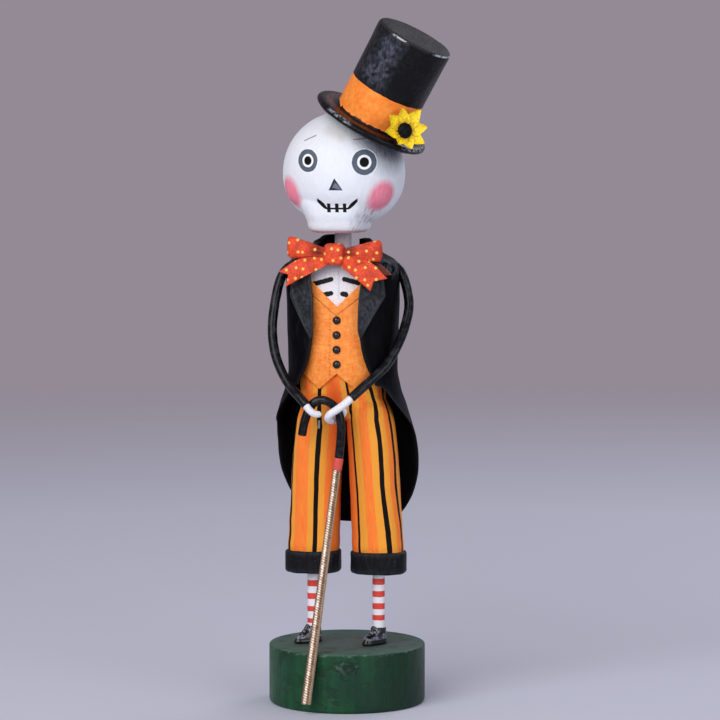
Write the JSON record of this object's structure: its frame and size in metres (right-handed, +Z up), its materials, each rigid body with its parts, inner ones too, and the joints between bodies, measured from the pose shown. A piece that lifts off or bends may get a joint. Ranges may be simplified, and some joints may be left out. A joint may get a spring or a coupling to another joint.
{
  "type": "skeleton gentleman figurine",
  "caption": "Hand-painted resin skeleton gentleman in a top hat, tailcoat and striped trousers, leaning on a cane, standing on a round green base",
  "frame": {"origin": "Centre of the round base's flat underside, on the surface that the figurine stands on.", "axes": "+Z up through the figure, the figure faces -Y, and its left hand is on +X."},
  "size_m": [0.0608, 0.0562, 0.2233],
  "materials": {
    "green_paint": "dark green paint brushed over cast resin",
    "black_gloss": "glossy black paint on cast resin",
    "striped_leg": "red and white painted bands",
    "painted_body": "orange waistcoat, white chest, striped trousers and black cuffs, painted on cast resin",
    "coat_paint": "satin black paint worn grey on the edges",
    "bow_paint": "mottled red-orange paint with small yellow dots",
    "bone_paint": "chalky white paint on cast resin",
    "hat_paint": "satin black paint with a painted orange band",
    "flower_paint": "yellow petals with a black middle",
    "arm_paint": "satin black paint on wire and resin",
    "red_paint": "red paint",
    "gilt": "pale gilt rubbed with brown"
  },
  "bodies": {
    "root": {"base": "green_paint", "shoe_right": "black_gloss", "shoe_left": "black_gloss", "leg_right": "striped_leg", "leg_left": "striped_leg", "body": "painted_body", "button_1": "black_gloss", "button_2": "black_gloss", "button_3": "black_gloss", "button_4": "black_gloss", "tailcoat": "coat_paint", "bow_tie": "bow_paint", "head": "bone_paint", "hat": "hat_paint", "sunflower": "flower_paint", "arm_right": "arm_paint", "arm_left": "arm_paint", "hand_right": "bone_paint", "hand_left": "bone_paint", "cane_crook": "arm_paint", "cane_ferrule": "red_paint", "cane_shaft": "gilt"}
  },
  "joints": []
}
